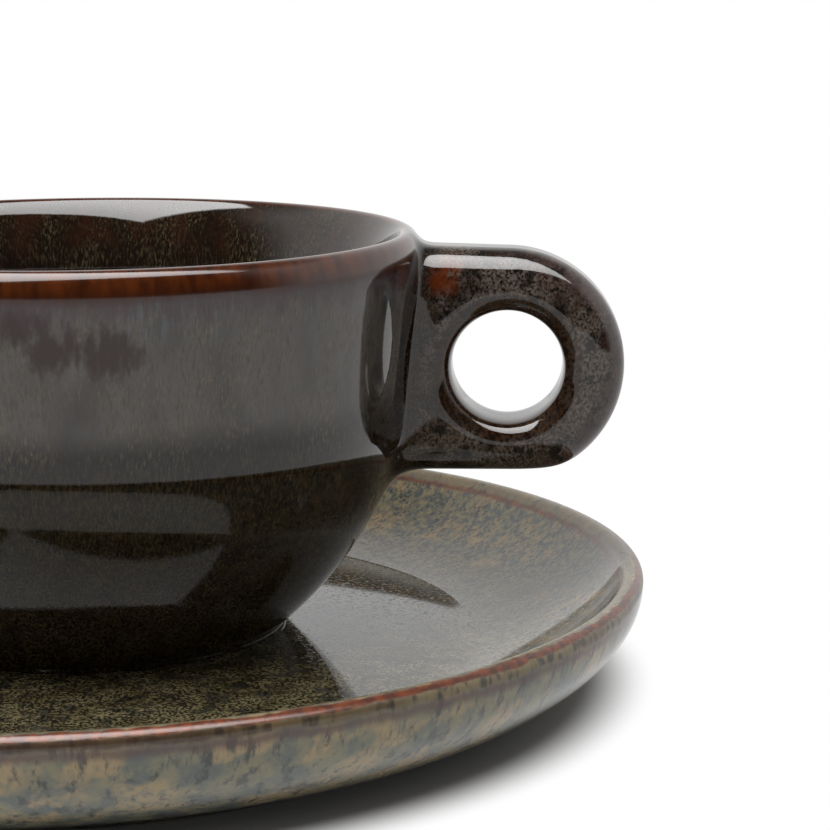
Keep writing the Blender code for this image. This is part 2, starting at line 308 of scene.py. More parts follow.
rim_round = SAUCER_RIM / 2
rim_centre = np.array([SAUCER_RADIUS - rim_round, SAUCER_HEIGHT - rim_round])
slope = np.array([math.cos(math.radians(INNER_SLOPE)), math.sin(math.radians(INNER_SLOPE))])
rim_inside = rim_centre + rim_round * np.array([-slope[1], slope[0]])
floor_fall = FLOOR_DROP / (FLOOR_RADIUS - SEAT_RADIUS)
seat_edge = (SEAT_RADIUS, FLOOR_HEIGHT)
seat_end = (SEAT_RADIUS + SEAT_BLEND, FLOOR_HEIGHT - SEAT_BLEND * floor_fall)
wall_start = (FLOOR_RADIUS + 0.6, FLOOR_HEIGHT - FLOOR_DROP + 0.02)
saucer_profile = joined(
    line((0, FLOOR_HEIGHT), (SEAT_RADIUS - SEAT_BLEND, FLOOR_HEIGHT), 8),
    bezier([(SEAT_RADIUS - SEAT_BLEND, FLOOR_HEIGHT), seat_edge, seat_edge, seat_end], 10),
    line(seat_end, (FLOOR_RADIUS, FLOOR_HEIGHT - FLOOR_DROP), 14),
    bezier([wall_start, WALL_BEND, rim_inside - STRAIGHT_WALL * slope, rim_inside], 40),
    arc(rim_centre, (rim_round, rim_round), 90 + INNER_SLOPE, 0, 18),
    arc((BELLY_CENTRE, rim_centre[1]), (SAUCER_RADIUS - BELLY_CENTRE, rim_centre[1] - FOOT_RISE), 0, -75, 40),
    line((FOOT_OUTSIDE + 0.9, 1.1), (FOOT_OUTSIDE + 0.5, 0.3), 3),
    line((FOOT_OUTSIDE + 0.5, 0.3), (FOOT_OUTSIDE, 0), 2),
    line((FOOT_OUTSIDE, 0), (FOOT_INSIDE, 0), 6),
    line((FOOT_INSIDE, 0), (RECESS_RADIUS, RECESS_HEIGHT), 6),
    line((RECESS_RADIUS, RECESS_HEIGHT), (0, RECESS_HEIGHT), 18))
print("saucer profile", len(saucer_profile), "points, crest at", round(crest_length(saucer_profile), 1), "mm")

# %% [markdown]
# ## The bowl's line
#
# The bowl's wall rises almost straight from a faint crease at half height. Below the crease the
# belly runs in to a small foot, and above it the lip rolls over softly outside and flares a little
# inside. The lip is round twice: a tight round inside, and a long one outside, down which the rust
# runs. The crease stays a sharp bend, because the grey veil of the wall ends there in a clear line.

# %% Bowl profile
CUP_HEIGHT, LIP_RADIUS, LIP_ROUND = 52.5, 45.25, 2.1
INNER_ROUND, FLARE_TILT = 1.3, 42.0
INSIDE_FLOOR, INSIDE_SHOULDER = 6.5, (38.6, 40.5)
LIP_END = (45.0, 47.6)
CREASE_RADIUS, CREASE_HEIGHT = 42.9, 27.2
HEEL = (35.5, 9.87)
FOOT_INNER, RECESS_EDGE, CUP_RECESS = 22.4, 21.4, 1.5
# The foot reaches into the small gap that the CAD leaves above the saucer's floor.
SEAT_SINK = -0.25

lip_centre = np.array([LIP_RADIUS - LIP_ROUND, CUP_HEIGHT - LIP_ROUND])
inner_centre = lip_centre + (0, LIP_ROUND - INNER_ROUND)
tilt = math.radians(FLARE_TILT)
flare_start = inner_centre + INNER_ROUND * np.array([-math.cos(tilt), math.sin(tilt)])
bowl_profile = joined(
    line((0, INSIDE_FLOOR), (12, INSIDE_FLOOR), 6),
    bezier([(12, INSIDE_FLOOR), (31, INSIDE_FLOOR), (37.6, 20), INSIDE_SHOULDER], 56),
    bezier([INSIDE_SHOULDER, (38.9, 46), flare_start - (1.8, 2.0), flare_start], 30),
    arc(inner_centre, (INNER_ROUND, INNER_ROUND), 180 - FLARE_TILT, 90, 8),
    bezier([(lip_centre[0], CUP_HEIGHT), (44.5, CUP_HEIGHT), (45.32, 50.6), LIP_END], 30),
    line(LIP_END, (CREASE_RADIUS + 0.05, CREASE_HEIGHT + 0.4), 26),
    bezier([(CREASE_RADIUS, CREASE_HEIGHT - 0.1), (41.90, 21.06), (39.2, 14.97), HEEL], 36),
    bezier([HEEL, (32.97, 6.39), (30.3, 3.5), (26.9, 0.55)], 26),
    line((26.78, 0.44), (26.70, 0.34), 2),
    line((26.66, 0.24), (26.56, SEAT_SINK + 0.1), 4),
    line((26.46, SEAT_SINK), (FOOT_INNER, SEAT_SINK), 5),
    line((FOOT_INNER, SEAT_SINK), (RECESS_EDGE, CUP_RECESS), 4),
    line((RECESS_EDGE, CUP_RECESS), (0, CUP_RECESS), 8))
print("bowl profile", len(bowl_profile), "points, crest at", round(crest_length(bowl_profile), 1), "mm")

# %% [markdown]
# ## The glazes
#
# All three pieces are stoneware under a glossy reactive glaze: a clear glass, with an index a little
# above window glass, over a brown-black body of colour. Where it lies thick, fine tan flecks have run
# down in it and a milky haze floats near the top; on the bowl that haze is partly a painted reflection
# of the white table. Where it runs thin over a rim or an edge, the iron in it breaks to rust. The
# colours could be painted on the points, but flecks a third of a millimetre wide would need millions
# of them, so they are noise in Object coordinates, in real millimetres: a Mapping node of the TEXTURE
# type divides by the size of one fleck, and every noise has scale 1.
# The finest flecks of such a glaze are about a tenth of a millimetre, less than a pixel here, so the
# finest ones are drawn at three tenths, about two pixels.

# %% Glaze helpers
CUP_AXIS = (6.2 * MM, 2.65 * MM, 8.8 * MM)
GLAZE_IOR = 1.54


def started_glaze(name, roughness):
    """A new material, its tree and its shader: clear glass over colour, very slightly soft."""
    material = bpy.data.materials.new(name)
    material.use_nodes = True
    shader = material.node_tree.nodes["Principled BSDF"]
    shader.inputs["IOR"].default_value = GLAZE_IOR
    shader.inputs["Roughness"].default_value = roughness
    return material, material.node_tree, shader


def flecks(tree, size, low, high, detail=2.0, roughness=0.5):
    """Mask of grains with a size in millimetres along X, Y and Z, between two levels of noise."""
    where = add(tree, "ShaderNodeTexCoord", output="Object")
    where = add(tree, "ShaderNodeMapping", {"vector_type": "TEXTURE"},
                {"Vector": where, "Location": CUP_AXIS, "Scale": [s * MM for s in size]})
    grain = add(tree, "ShaderNodeTexNoise", {}, {"Vector": where, "Scale": 1.0, "Detail": detail,
                                                "Roughness": roughness})
    return add(tree, "ShaderNodeMapRange", {"interpolation_type": "SMOOTHSTEP"},
               {"Value": grain, "From Min": low, "From Max": high})


def spot(tree, centre, size):
    """Mask of one soft spot, with its centre and its reach in millimetres."""
    where = add(tree, "ShaderNodeTexCoord", output="Object")
    where = add(tree, "ShaderNodeMapping", {"vector_type": "TEXTURE"},
                {"Vector": where, "Location": [c * MM for c in centre], "Scale": [s * MM for s in size]})
    return add(tree, "ShaderNodeTexGradient", {"gradient_type": "SPHERICAL"}, {"Vector": where}, "Fac")


def wandering(tree, distance, size, reach):
    """A distance that wanders by up to a reach, both in millimetres."""
    wave = flecks(tree, size, 0.25, 0.75, 3)
    wave = add(tree, "ShaderNodeMath", {"operation": "SUBTRACT"}, {0: wave, 1: 0.5})
    return add(tree, "ShaderNodeMath", {"operation": "MULTIPLY_ADD"},
               {0: wave, 1: 2 * reach * MM, 2: distance})


def band(tree, distance, start, end, soft):
    """Mask of the band between two distances in millimetres, with soft edges."""
    begun = add(tree, "ShaderNodeMapRange", {"interpolation_type": "SMOOTHSTEP"},
                {"Value": distance, "From Min": (start - soft) * MM, "From Max": (start + soft) * MM})
    ended = add(tree, "ShaderNodeMapRange", {"interpolation_type": "SMOOTHSTEP"},
                {"Value": distance, "From Min": (end - soft) * MM, "From Max": (end + soft) * MM,
                 "To Min": 1.0, "To Max": 0.0})
    return add(tree, "ShaderNodeMath", {"operation": "MULTIPLY"}, {0: begun, 1: ended})


def laid(tree, under, upper, *masks):
    """A colour laid over another where all the masks, or shares of one, let it."""
    where = masks[0]
    for mask in masks[1:]:
        where = add(tree, "ShaderNodeMath", {"operation": "MULTIPLY"}, {0: where, 1: mask})
    upper, under = [linear(c) if isinstance(c, str) else c for c in (upper, under)]
    return add(tree, "ShaderNodeMix", {"data_type": "RGBA"}, {0: where, 6: under, 7: upper}, 2)


def orange_peel(tree, shader, ripple, strength, depth):
    """Small unevenness of the set glaze: a mask of ripples or pits with its depth in millimetres."""
    peel = add(tree, "ShaderNodeBump", {}, {"Strength": strength, "Distance": depth * MM, "Height": ripple})
    tree.links.new(peel, shader.inputs["Normal"])


print("glaze index", GLAZE_IOR)

# %% [markdown]
# ## The bowl's glaze
#
# On the bowl the glaze ran down while it was molten. From the lip down there is a rust edge, a
# purple-brown haze, a milky veil as far as the crease, partly a painted reflection of the white table,
# and brown-black with tan flecks on the belly, painted darker there as shade.
# Each band follows the distance from the lip's crest along the surface, which the turning tree
# writes on every point, and is broken up by noise that is stretched down the wall. In front the
# veil has a thin place where the dark body shows: three soft spots, frayed by the same noise.

# %% Bowl glaze, from the body to the veil
# Glossy stoneware glaze: a sharp mirror over brown-black, tan flecks drawn down the wall, a milky veil that
# is partly painted reflection.
THIN_SPOTS = (((6, -42, 55), (8, 14, 4.0)),
              ((10.5, -42, 52), (7, 14, 4.0)),
              ((16.8, -41, 51.6), (5.5, 14, 4.5)))
bowl_glaze, tree, shader = started_glaze("brown_black_reactive_glaze", 0.05)
from_crest = add(tree, "ShaderNodeAttribute", {"attribute_name": "from_crest"}, output="Fac")
inside = band(tree, from_crest, -90.0, 0.0, 0.5)
colour = laid(tree, "#0a0705", "#170e09", flecks(tree, (13, 13, 20), 0.36, 0.66, 3))
colour = laid(tree, colour, "#1f150e", inside)
thin = None
for centre, reach in THIN_SPOTS:
    here = spot(tree, centre, reach)
    thin = here if thin is None else add(tree, "ShaderNodeMath", {"operation": "MAXIMUM"}, {0: thin, 1: here})
thin = add(tree, "ShaderNodeMath", {"operation": "MULTIPLY_ADD"},
           {0: flecks(tree, (1.1, 1.1, 3.0), 0.2, 0.8, 3), 1: 0.70, 2: thin})
thin = add(tree, "ShaderNodeMapRange", {"interpolation_type": "SMOOTHSTEP"},
           {"Value": thin, "From Min": 0.46, "From Max": 1.1})
# The milky veil is partly real haze and partly a painted reflection of the white table, which lifts the
# wall's colour.
milk_and_painted_reflection = band(tree, from_crest, 4.2, 21.5, 2.2)
colour = laid(tree, colour, "#65615e", milk_and_painted_reflection, flecks(tree, (7, 7, 16), 0.0, 0.70, 3), 0.95)
streaks = flecks(tree, (0.30, 0.30, 1.4), 0.48, 0.66, 3, 0.6)
clusters = flecks(tree, (3.5, 3.5, 9), 0.25, 0.62)
colour = laid(tree, colour, "#4a3e2b", streaks, clusters, 0.75)
pale = flecks(tree, (0.28, 0.28, 1.1), 0.50, 0.70, 3, 0.6)
colour = laid(tree, colour, "#84775b", pale, flecks(tree, (5, 5, 8), 0.36, 0.60), 0.42)
colour = laid(tree, colour, "#2c120b", thin, 0.94)
print("bowl glaze", len(tree.nodes), "nodes so far")

# %% Bowl glaze, the belly and the lip
# On the belly the glaze is painted darker as shade and the flecks lie thicker. At the lip the glaze is thin,
# and iron breaks through as rust.
shaded_belly = band(tree, from_crest, 25.0, 90.0, 2.5)
# Painted shade: the belly below the crease is darkened towards brown-black.
colour = laid(tree, colour, "#0a0705", shaded_belly, 0.60)
colour = laid(tree, colour, "#3f3423", flecks(tree, (0.34, 0.34, 1.2), 0.44, 0.62, 3, 0.6), shaded_belly, 0.62)
haze = band(tree, wandering(tree, from_crest, (1.5, 1.5, 6), 1.2), 2.0, 6.5, 1.8)
colour = laid(tree, colour, "#46343a", haze, 0.68)
runs = flecks(tree, (0.5, 0.5, 6), 0.50, 0.68)
colour = laid(tree, colour, "#64747a", runs, band(tree, from_crest, 4.8, 9.5, 2.5),
              flecks(tree, (6, 6, 40), 0.46, 0.60), 0.50)
colour = laid(tree, colour, "#3a2014", band(tree, from_crest, -9.0, -1.0, 2.0),
              flecks(tree, (4, 4, 9), 0.42, 0.66), 0.60)
rust_edge = wandering(tree, wandering(tree, from_crest, (24, 24, 80), -0.8), (1.5, 1.5, 6), 0.2)
rust_edge = add(tree, "ShaderNodeMath", {"operation": "MULTIPLY_ADD"},
                {0: spot(tree, (4, -43, 59), (26, 24, 14)), 1: -0.8 * MM, 2: rust_edge})
rust = laid(tree, "#3a1807", "#5a2a0d", flecks(tree, (1.6, 1.6, 9), 0.30, 0.70, 3))
rust = laid(tree, rust, "#2e1408", band(tree, rust_edge, 3.0, 9.0, 1.0), 0.75)
lip = add(tree, "ShaderNodeMath", {"operation": "MULTIPLY"},
          {0: band(tree, rust_edge, -9.0, 3.9, 0.7), 1: band(tree, from_crest, -0.9, 20.0, 0.4)})
colour = laid(tree, colour, rust, lip)
dull = add(tree, "ShaderNodeMapRange", {}, {"Value": lip, "To Min": 0.05, "To Max": 0.12})
tree.links.new(dull, shader.inputs["Roughness"])
tree.links.new(colour, shader.inputs["Base Color"])
orange_peel(tree, shader, flecks(tree, (1.8, 1.8, 2.4), 0.2, 0.8), 0.008, 0.4)
print("bowl glaze", len(tree.nodes), "nodes")

# %% [markdown]
# ## The handle's glaze
#
# The handle was dipped with the bowl, but its edges broke the glaze up: grey-tan mottling with black
# pools between the finger hole and the rim, a brown ring round the hole, purple-brown along the
# outer edge and rust where it ran thin at the top of the root. So its patterns follow three
# distances that the handle's mesh carries: from the wall, from the outer edge and from the hole.

# %% Handle glaze
# Glossy stoneware glaze, a touch softer than the bowl's, which gives the eye a mottled, mineral face.
HANDLE_DROP, HOLE_RADIUS, RING_WIDTH = 2.0, 7.25, 8.05
HOLE_HEIGHT = CUP_HEIGHT - HANDLE_DROP - HOLE_RADIUS - RING_WIDTH
hole_above_table = CUP_AXIS[2] / MM + HOLE_HEIGHT
handle_glaze, tree, shader = started_glaze("mottled_brown_reactive_glaze", 0.055)
from_wall, from_edge, from_hole = [add(tree, "ShaderNodeAttribute", {"attribute_name": name}, output="Fac")
                                   for name in ("from_wall", "from_edge", "from_hole")]
colour = laid(tree, "#0d0907", "#21150d", flecks(tree, (4, 4, 5), 0.38, 0.62, 3))
away = band(tree, from_wall, 2.5, 60.0, 2.0)
clouds = flecks(tree, (5, 5, 6), 0.34, 0.54, 3)
mottle = flecks(tree, (0.36, 0.36, 0.42), 0.36, 0.64, 3, 0.62)
colour = laid(tree, colour, "#7d7269", mottle, clouds, away, 0.72)
edge = band(tree, wandering(tree, from_edge, (2.5, 2.5, 2.5), 1.2), -3.0, 2.2, 1.5)
colour = laid(tree, colour, "#402a28", edge, band(tree, from_wall, 14.0, 60.0, 5.0), 0.70)
colour = laid(tree, colour, "#5c4b39", flecks(tree, (0.30, 0.30, 0.60), 0.50, 0.66, 3, 0.6), 0.50)
colour = laid(tree, colour, "#0b0908", flecks(tree, (2.0, 2.0, 1.8), 0.55, 0.64, 3), away, 0.82)
ring = band(tree, wandering(tree, from_hole, (1.2, 1.2, 1.2), 0.4), -2.0, 2.4, 0.6)
brown = laid(tree, "#1e110a", "#442a15", flecks(tree, (0.5, 0.5, 0.5), 0.44, 0.62, 3))
colour = laid(tree, colour, brown, ring, 0.75)
heights = add(tree, "ShaderNodeTexCoord", output="Object")
heights = add(tree, "ShaderNodeSeparateXYZ", {}, {0: heights}, "Z")
top = band(tree, heights, hole_above_table + 10.0, hole_above_table + 14.2, 1.2)
root = band(tree, wandering(tree, from_wall, (2, 2, 2), 0.8), 2.4, 5.6, 1.0)
colour = laid(tree, colour, "#662a08", root, top, flecks(tree, (2, 2, 3), 0.25, 0.55, 3), 0.75)
tree.links.new(colour, shader.inputs["Base Color"])
orange_peel(tree, shader, flecks(tree, (1.8, 1.8, 2.4), 0.2, 0.8), 0.02, 0.4)
print("handle glaze", len(tree.nodes), "nodes")

# %% [markdown]
# ## The saucer's glaze
#
# The saucer has a paler glaze of the same kind: olive with black specks on the floor, slate and tan
# clouds on the walls, and round the rim a tan crest between two rust lines, a tan band in short
# cells and a purple-brown line. Three tints are mixed first, for the floor, the inner wall and the
# outside, then each is laid where it belongs, and the rim's lines go on last. The outside's tint
# darkens towards the foot as painted shade.

# %% Saucer glaze, three tints
# Glossy stoneware glaze, pale and cloudy, which gives the eye a speckled stone under clear glass.
saucer_glaze, tree, shader = started_glaze("slate_and_tan_reactive_glaze", 0.045)
from_crest = add(tree, "ShaderNodeAttribute", {"attribute_name": "from_crest"}, output="Fac")
floor_tint = laid(tree, "#655b3e", "#837959", flecks(tree, (5, 5, 5), 0.36, 0.64, 3))
floor_tint = laid(tree, floor_tint, "#2b3032", flecks(tree, (2.2, 2.2, 2.2), 0.48, 0.64, 3), 0.65)
specks = flecks(tree, (0.42, 0.42, 0.42), 0.445, 0.53, 2, 0.6)
floor_tint = laid(tree, floor_tint, "#0d0b09", specks, flecks(tree, (3, 3, 3), 0.10, 0.46), 0.93)
inner_tint = laid(tree, "#40484b", "#807657", flecks(tree, (1.0, 1.0, 1.3), 0.36, 0.62, 4, 0.65))
inner_tint = laid(tree, inner_tint, "#a3855a", flecks(tree, (5.5, 5.5, 6.5), 0.48, 0.68, 4, 0.7), 0.75)
inner_tint = laid(tree, inner_tint, "#20262a", flecks(tree, (0.55, 0.55, 0.9), 0.50, 0.64, 3),
                  flecks(tree, (3, 3, 4), 0.30, 0.62), 0.85)
drips = flecks(tree, (0.7, 0.7, 2.6), 0.26, 0.58, 3)
outer_tint = laid(tree, "#666d68", "#8c876c", flecks(tree, (4.0, 4.0, 5.0), 0.38, 0.60, 4, 0.6))
outer_tint = laid(tree, outer_tint, "#b39b72", flecks(tree, (7.5, 7.5, 4.5), 0.44, 0.58, 3), drips, 0.88)
outer_tint = laid(tree, outer_tint, "#343a3c", flecks(tree, (1.6, 1.6, 5.0), 0.50, 0.66, 4, 0.65), 0.80)
# Painted shade: the outside darkens towards the foot, where the saucer's own shadow falls.
painted_foot_shade = band(tree, wandering(tree, from_crest, (3, 3, 3), 3.0), 19.0, 90.0, 3.5)
outer_tint = laid(tree, outer_tint, "#25292b", painted_foot_shade, 0.70)
print("saucer glaze", len(tree.nodes), "nodes so far")

# %% Saucer glaze, laid on with the rim's lines
# The rim is softer to the eye than the floor, and pinholes of about 0.2 mm are drawn at 0.6 mm to show.
inner_part = band(tree, wandering(tree, from_crest, (4, 4, 4), 2.5), -16.0, 90.0, 3.0)
colour = laid(tree, floor_tint, inner_tint, inner_part)
pale_foot = band(tree, wandering(tree, from_crest, (4, 4, 4), 2.0), -25.0, -17.0, 2.5)
colour = laid(tree, colour, "#938a6c", pale_foot, flecks(tree, (1.2, 1.2, 1.2), 0.34, 0.66, 3), 0.55)
colour = laid(tree, colour, outer_tint, band(tree, from_crest, 0.0, 90.0, 0.5))
lines = wandering(tree, from_crest, (3, 3, 3), 0.22)
colour = laid(tree, colour, "#5a4240", band(tree, lines, 2.5, 3.7, 0.6), 0.75)
cells = laid(tree, "#2c2418", "#7b6b49", flecks(tree, (1.5, 1.5, 6.0), 0.38, 0.54, 3))
cells = laid(tree, cells, "#35170f", flecks(tree, (26, 26, 60), 0.52, 0.62), 0.40)
red_run = spot(tree, (5, -80, 16), (44, 20, 20))
red_run = add(tree, "ShaderNodeMapRange", {"interpolation_type": "SMOOTHSTEP"},
              {"Value": red_run, "From Min": 0.13, "From Max": 0.37})
cells = laid(tree, cells, "#35170f", red_run, 0.85)
colour = laid(tree, colour, cells, band(tree, lines, 1.3, 2.5, 0.3), 0.90)
rust = laid(tree, "#4c200b", "#753612", flecks(tree, (1.4, 1.4, 1.4), 0.36, 0.64, 3))
tan = flecks(tree, (3, 3, 3), 0.25, 0.55)
colour = laid(tree, colour, "#74664e", band(tree, lines, -2.1, 0.2, 0.35), tan, 0.80)
colour = laid(tree, colour, rust, band(tree, lines, -2.9, -2.1, 0.35), 0.80)
colour = laid(tree, colour, rust, band(tree, lines, 0.25, 1.35, 0.2))
dull = add(tree, "ShaderNodeMapRange", {}, {"Value": specks, "To Min": 0.035, "To Max": 0.07})
dull = add(tree, "ShaderNodeMapRange", {},
           {"Value": band(tree, lines, -1.5, 2.4, 0.5), "To Min": dull, "To Max": 0.26})
tree.links.new(dull, shader.inputs["Roughness"])
tree.links.new(colour, shader.inputs["Base Color"])
orange_peel(tree, shader, flecks(tree, (0.6, 0.6, 0.6), 0.58, 0.70), 0.10, 0.1)
print("saucer glaze", len(tree.nodes), "nodes")

# %% [markdown]
# ## Turning on the wheel
#
# A Screw modifier could turn the profile, but a Geometry Nodes tree can also write down, for each
# point, how far it is from the crest of the rim along the surface, which the glazes need for their
# bands. The tree lays out a flat grid with one row for each profile point, moves each grid point
# to its profile point turned about the axis, and merges the seam and the poles.

# %% Turning tree
tree = bpy.data.node_groups.new("turned_on_the_wheel", "GeometryNodeTree")
for name, kind in (("Profile", "NodeSocketGeometry"), ("Segments", "NodeSocketInt"),
                   ("Axis", "NodeSocketVector"), ("Crest", "NodeSocketFloat"),
                   ("Glaze", "NodeSocketMaterial")):
    tree.interface.new_socket(name, in_out="INPUT", socket_type=kind)
tree.interface.new_socket("Turned piece", in_out="OUTPUT", socket_type="NodeSocketGeometry")
given = tree.nodes.new("NodeGroupInput").outputs
rows = add(tree, "GeometryNodeAttributeDomainSize", {"component": "CURVE"}, {0: given["Profile"]},
           "Point Count")
columns = add(tree, "ShaderNodeMath", {"operation": "ADD"}, {0: given["Segments"], 1: 1.0})
sheet = add(tree, "GeometryNodeMeshGrid", {}, {"Vertices X": columns, "Vertices Y": rows})
index = add(tree, "GeometryNodeInputIndex")
row = add(tree, "ShaderNodeMath", {"operation": "MODULO"}, {0: index, 1: rows})
column = add(tree, "ShaderNodeMath", {"operation": "DIVIDE"}, {0: index, 1: rows})
column = add(tree, "ShaderNodeMath", {"operation": "FLOOR"}, {0: column})
turn = add(tree, "ShaderNodeMath", {"operation": "DIVIDE"}, {0: column, 1: given["Segments"]})
turn = add(tree, "ShaderNodeMath", {"operation": "MULTIPLY"}, {0: turn, 1: math.tau})
drawn = add(tree, "GeometryNodeInputPosition")
drawn = add(tree, "GeometryNodeSampleIndex", {"data_type": "FLOAT_VECTOR"},
            {"Geometry": given["Profile"], "Value": drawn, "Index": row})
length = add(tree, "GeometryNodeSplineParameter", output="Length")
length = add(tree, "GeometryNodeSampleIndex", {"data_type": "FLOAT"},
             {"Geometry": given["Profile"], "Value": length, "Index": row})
from_crest = add(tree, "ShaderNodeMath", {"operation": "SUBTRACT"}, {0: length, 1: given["Crest"]})
turned = add(tree, "ShaderNodeVectorRotate", {"rotation_type": "Z_AXIS"}, {"Vector": drawn, "Angle": turn})
turned = add(tree, "ShaderNodeVectorMath", {"operation": "ADD"}, {0: turned, 1: given["Axis"]})
pot = add(tree, "GeometryNodeStoreNamedAttribute", {"data_type": "FLOAT", "domain": "POINT"},
          {"Geometry": sheet, "Name": "from_crest", "Value": from_crest})
pot = add(tree, "GeometryNodeSetPosition", {}, {"Geometry": pot, "Position": turned})
pot = add(tree, "GeometryNodeMergeByDistance", {}, {"Geometry": pot, "Distance": 0.001 * MM})
pot = add(tree, "GeometryNodeFlipFaces", {}, {"Mesh": pot})
pot = add(tree, "GeometryNodeSetShadeSmooth", {}, {"Geometry": pot})
pot = add(tree, "GeometryNodeRealizeInstances", {}, {"Geometry": pot})
pot = add(tree, "GeometryNodeSetMaterial", {}, {"Geometry": pot, "Material": given["Glaze"]})
add(tree, "NodeGroupOutput", {}, {0: pot})
turning = tree
print("turning tree", len(tree.nodes), "nodes")

# %% [markdown]
# ## Off the wheel
#
# The tree works on a curve object that holds the profile. Its result becomes a plain mesh, and the
# curve goes. The volume of clay is a quick test that the faces point outwards, because a mesh that
# is inside out has a negative one.

# %% Turned pieces


def clay_volume(mesh):
    """Volume of a closed mesh in millilitres, positive where its faces point outwards."""
    mesh.calc_loop_triangles()
    total = sum(t.area * np.dot(t.normal, mesh.vertices[t.vertices[0]].co) for t in mesh.loop_triangles) / 3
    return round(total / MM ** 3 / 1000, 1)


def thrown(name, profile, segments, axis, glaze):
    """A finished mesh object turned from a profile in millimetres."""
    curve = bpy.data.curves.new(name + "_profile", "CURVE")
    curve.dimensions = "3D"
    spline = curve.splines.new("POLY")
    spline.points.add(len(profile) - 1)
    for point, (radius, height) in zip(spline.points, profile):
        point.co = (radius * MM, 0, height * MM, 1)
    drawing = bpy.data.objects.new(name + "_profile", curve)
    bpy.context.scene.collection.objects.link(drawing)
    modifier = drawing.modifiers.new("turning", "NODES")
    modifier.node_group = turning
    values = {"Segments": segments, "Axis": axis, "Crest": crest_length(profile) * MM, "Glaze": glaze}
    for item in turning.interface.items_tree:
        if item.name in values:
            modifier[item.identifier] = values[item.name]
    depsgraph = bpy.context.evaluated_depsgraph_get()
    mesh = bpy.data.meshes.new_from_object(drawing.evaluated_get(depsgraph), depsgraph=depsgraph)
    drawing.modifiers.remove(modifier)
    bpy.data.objects.remove(drawing)
    mesh.name = name
    mesh.materials.clear()
    mesh.materials.append(glaze)
    piece = bpy.data.objects.new(name, mesh)
    bpy.context.scene.collection.objects.link(piece)
    print(name, clay_volume(mesh), "ml of clay in", len(mesh.loop_triangles), "triangles")
    return piece


SAUCER_SEGMENTS, BOWL_SEGMENTS = 288, 224
saucer = thrown("glazed_saucer", saucer_profile, SAUCER_SEGMENTS, (0, 0, 0), saucer_glaze)
bowl = thrown("glazed_bowl", bowl_profile, BOWL_SEGMENTS, CUP_AXIS, bowl_glaze)

# %% [markdown]
# ## The handle
#
# The handle is the piece that takes most skill: a thick slab with a round end, a flat sole, soft
# edges and a round finger hole whose edges roll in, drawn out of the wall with a small fillet all
# round. Boolean cuts and bevels could make it, but they leave creases where the fillet crosses the
# round edges. Each form is easy to say as a distance field, and fields can be blended, so the handle
# is the zero level of one field. Its root goes a little way into the wall and ends there, unseen.

# %% Handle fields
HANDLE_THICKNESS = 14.0
SOLE_WIDTH, WEB = 6.75, 5.4
EDGE_ROUND, HOLE_ROUND, HOLE_TAPER = 3.7, 2.1, 1.2
TOP_FALL, FACE_DOME, SOLE_CORNER = 0.03, 70.0, 2.4
FILLET, LIP_FILLET = 6.0, 2.6
# The fillet narrows over this stretch below the lip's crest.
NARROWS_FROM, NARROWS_OVER = 8.0, 6.0
# How deep the root goes into the wall, how far it spreads there, how far its skin lies under the
# bowl's own, and how far inside the wall the slab begins.
ROOT_DEPTH, ROOT_MARGIN, ROOT_SINK, ROOT_START = 1.3, 1.5, 0.007, 1.0
END_RADIUS = HOLE_RADIUS + RING_WIDTH
outer_wall = bowl_profile[np.argmax(bowl_profile[:, 1]):]
outer_wall = outer_wall[:np.argmin(outer_wall[:, 1])]
WALL_AT_HOLE = np.interp(HOLE_HEIGHT, outer_wall[::-1, 1], outer_wall[::-1, 0])
HOLE_OUT = WALL_AT_HOLE + WEB + HOLE_RADIUS
# Only this part of the bowl's line is near enough to the handle to count.
near_handle = bowl_profile[(bowl_profile[:, 1] > 8) & (bowl_profile[:, 0] > 20)]


def bowl_distance(radius, height):
    """Distance to the bowl's wall, negative inside the clay."""
    nearest = np.full(radius.shape, np.inf)
    crossings = np.zeros(radius.shape, int)
    for (r0, h0), (r1, h1) in zip(near_handle, np.roll(near_handle, -1, axis=0)):
        along = ((radius - r0) * (r1 - r0) + (height - h0) * (h1 - h0)) / ((r1 - r0) ** 2 + (h1 - h0) ** 2)
        along = np.clip(along, 0, 1)
        beyond = np.hypot(radius - r0 - along * (r1 - r0), height - h0 - along * (h1 - h0))
        nearest = np.minimum(nearest, beyond)
        if h0 != h1:
            beside = (h0 <= height) != (h1 <= height)
            crossings += beside & (radius < r0 + (height - h0) / (h1 - h0) * (r1 - r0))
    return np.where(crossings % 2 == 1, -nearest, nearest)


def rounded(depth_a, depth_b, radius):
    """Field of the edge where two faces meet, rounded to a radius, from the depths below both."""
    a, b = radius - depth_a, radius - depth_b
    return np.hypot(np.maximum(a, 0), np.maximum(b, 0)) + np.minimum(np.maximum(a, b), 0) - radius


def smooth_union(a, b, width):
    """The lower of two fields, with a fillet where they meet."""
    near = np.maximum(width - np.abs(a - b), 0) / width
    return np.minimum(a, b) - near ** 3 * width / 6


def handle_distance(points):
    """Field of the slab with its hole, before it meets the wall."""
    x, y, z = points[..., 0] - HOLE_OUT, np.abs(points[..., 1]), points[..., 2] - HOLE_HEIGHT
    from_hole = np.hypot(x, z)
    end = np.where(x > 0, from_hole, np.abs(z) + TOP_FALL * np.minimum(x, 0)) - END_RADIUS
    sole = -(HOLE_RADIUS + SOLE_WIDTH) - z
    outline = -smooth_union(-end, -sole, SOLE_CORNER)
    dome = (np.maximum(x, 0) ** 2 + z ** 2) / (2 * FACE_DOME)
    below_face = HANDLE_THICKNESS / 2 - dome - y
    into_clay = from_hole - HOLE_RADIUS - HOLE_TAPER * (y / (HANDLE_THICKNESS / 2)) ** 4
    slab = np.maximum(rounded(-outline, below_face, EDGE_ROUND), rounded(into_clay, below_face, HOLE_ROUND))
    return np.maximum(slab, WALL_AT_HOLE - ROOT_START - points[..., 0])


